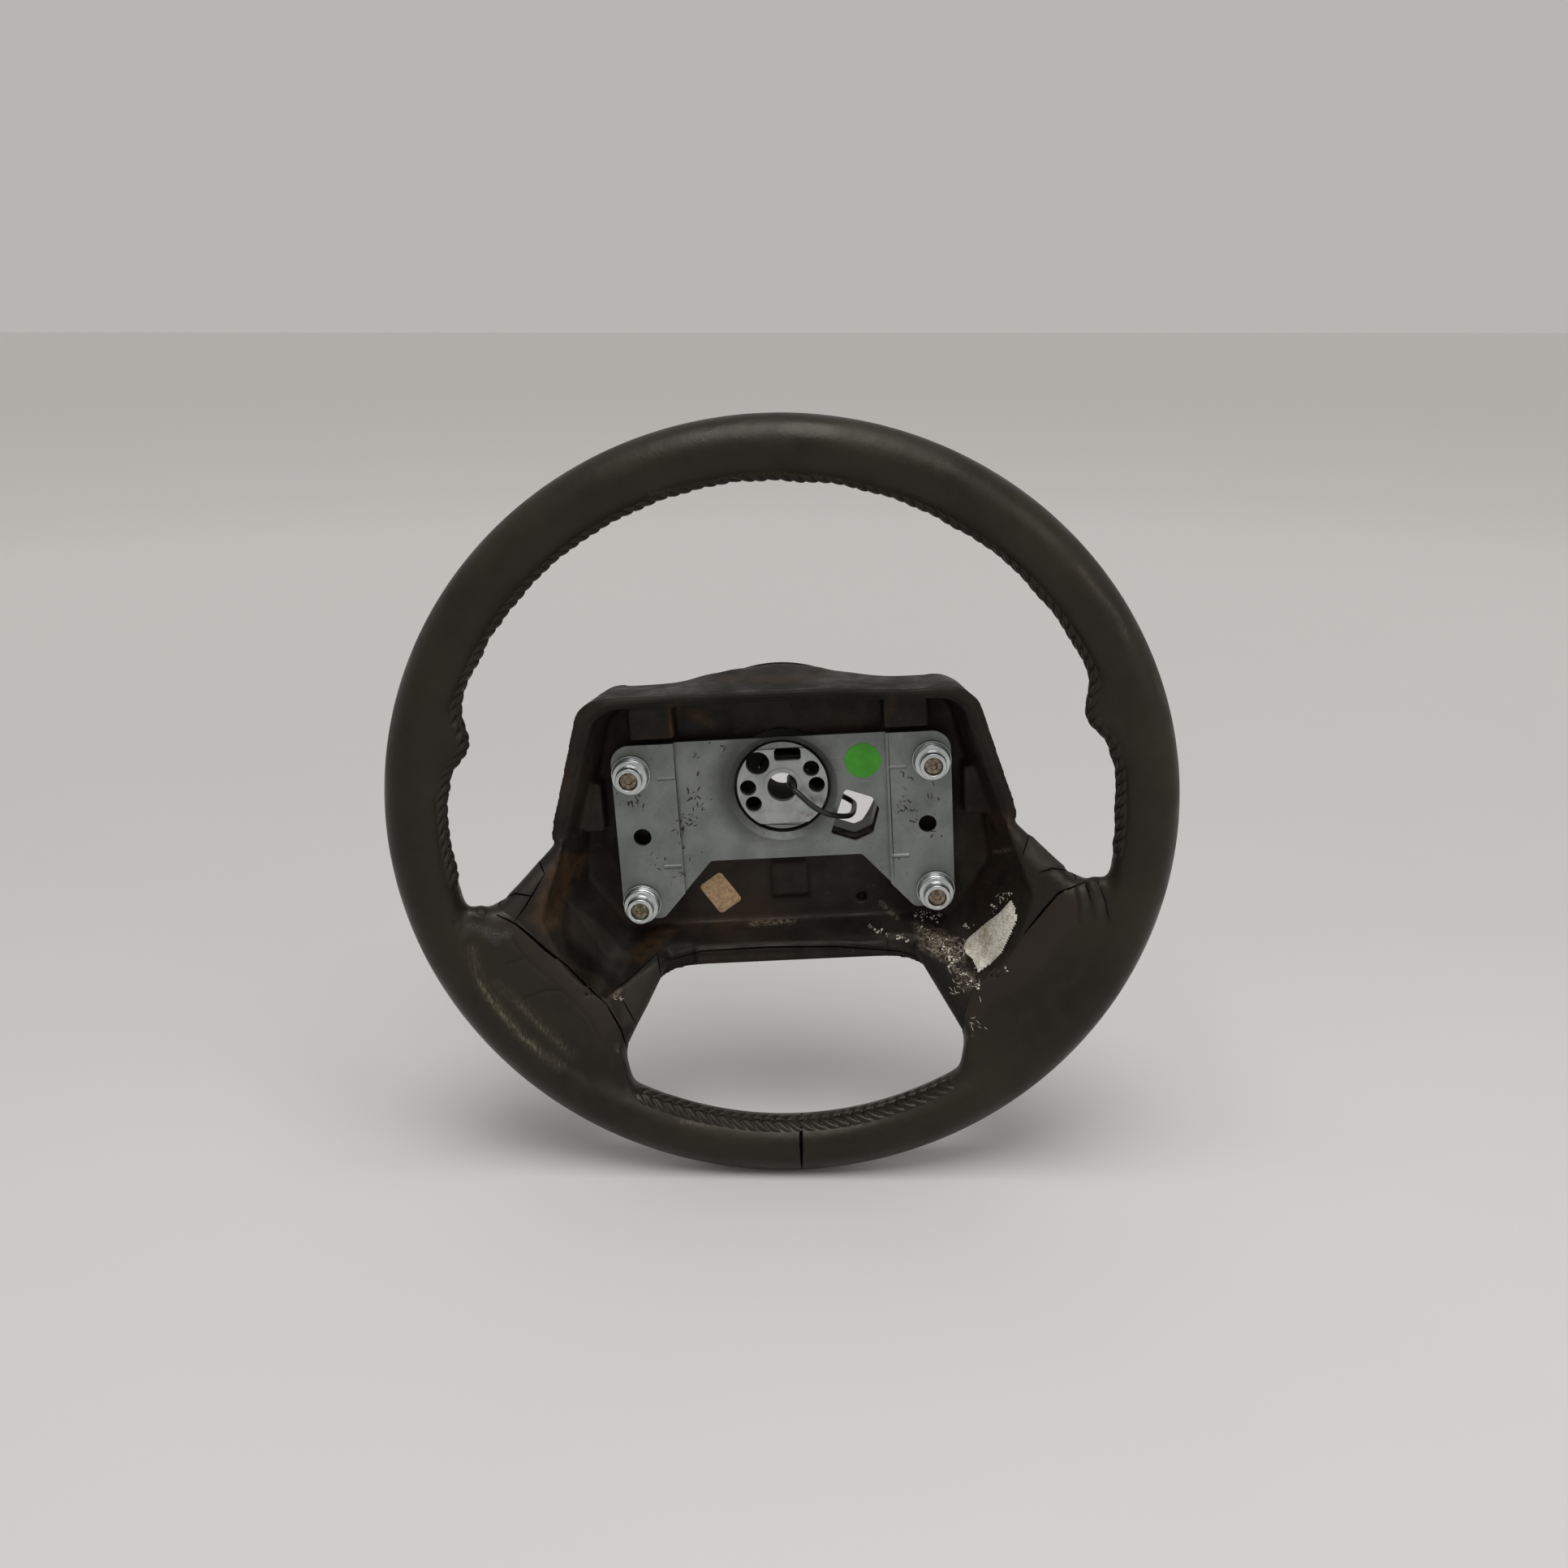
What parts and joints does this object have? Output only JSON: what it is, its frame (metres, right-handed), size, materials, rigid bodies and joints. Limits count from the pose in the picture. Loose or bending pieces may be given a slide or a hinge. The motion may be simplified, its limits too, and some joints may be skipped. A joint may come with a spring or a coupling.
{
  "type": "car steering wheel",
  "caption": "Leather covered car steering wheel with wide lower spokes and an open moulded tray holding a sprung horn plate round the steel hub, airbag module taken out.",
  "frame": {"origin": "on the wheel's axis, at the front face of the steel hub", "axes": "+Y along the axis towards the column, -Y towards the driver, +Z towards 12 o'clock, +X towards 3 o'clock"},
  "size_m": [0.385, 0.1005, 0.385],
  "materials": {
    "frame_steel": "black dip coat",
    "hub_steel": "turned, lightly rusted",
    "polyurethane": "moulded skin, worn",
    "collar_plastic": "moulded",
    "leather": "worn smooth",
    "thread": "waxed thread",
    "plate_zinc": "dull zinc plate",
    "sleeve_zinc": "bright zinc plate",
    "rusty_screw": "rusty",
    "spring_steel": "drawn wire",
    "green_film": "printed film",
    "paper": "aged paper",
    "brass": "plain",
    "insulator": "moulded",
    "lead_sheath": "soft sheath"
  },
  "bodies": {
    "wheel": {"rim_ring": "frame_steel", "spoke_frame": "frame_steel", "hub_boss": "hub_steel", "rim_core": "polyurethane", "moulded_body": "polyurethane", "rear_collar": "collar_plastic", "leather_cover": "leather", "seam_stitching": "thread", "paper_label": "paper", "contact_rivets": "brass", "slip_ring_carrier": "insulator", "slip_ring": "brass", "horn_lead": "lead_sheath", "lead_terminal": "lead_sheath", "corner_sleeve_upper_left": "sleeve_zinc", "seat_washer_upper_left": "sleeve_zinc", "corner_screw_upper_left": "rusty_screw", "return_spring_upper_left": "spring_steel", "corner_sleeve_upper_right": "sleeve_zinc", "seat_washer_upper_right": "sleeve_zinc", "corner_screw_upper_right": "rusty_screw", "return_spring_upper_right": "spring_steel", "corner_sleeve_lower_left": "sleeve_zinc", "seat_washer_lower_left": "sleeve_zinc", "corner_screw_lower_left": "rusty_screw", "return_spring_lower_left": "spring_steel", "corner_sleeve_lower_right": "sleeve_zinc", "seat_washer_lower_right": "sleeve_zinc", "corner_screw_lower_right": "rusty_screw", "return_spring_lower_right": "spring_steel"},
    "plate": {"horn_plate": "plate_zinc", "green_dot": "green_film", "plate_bush_upper_left": "insulator", "plate_bush_upper_right": "insulator", "plate_bush_lower_left": "insulator", "plate_bush_lower_right": "insulator"}
  },
  "joints": [
    {"name": "horn_press", "type": "slide", "parent": "wheel", "child": "plate", "axis": [0, 1, 0], "range_m": [0, 0.002], "stiffness_N_per_m": 4000, "springref_m": -0.005, "deforming": ["return_spring_upper_left", "return_spring_upper_right", "return_spring_lower_left", "return_spring_lower_right"]}
  ]
}
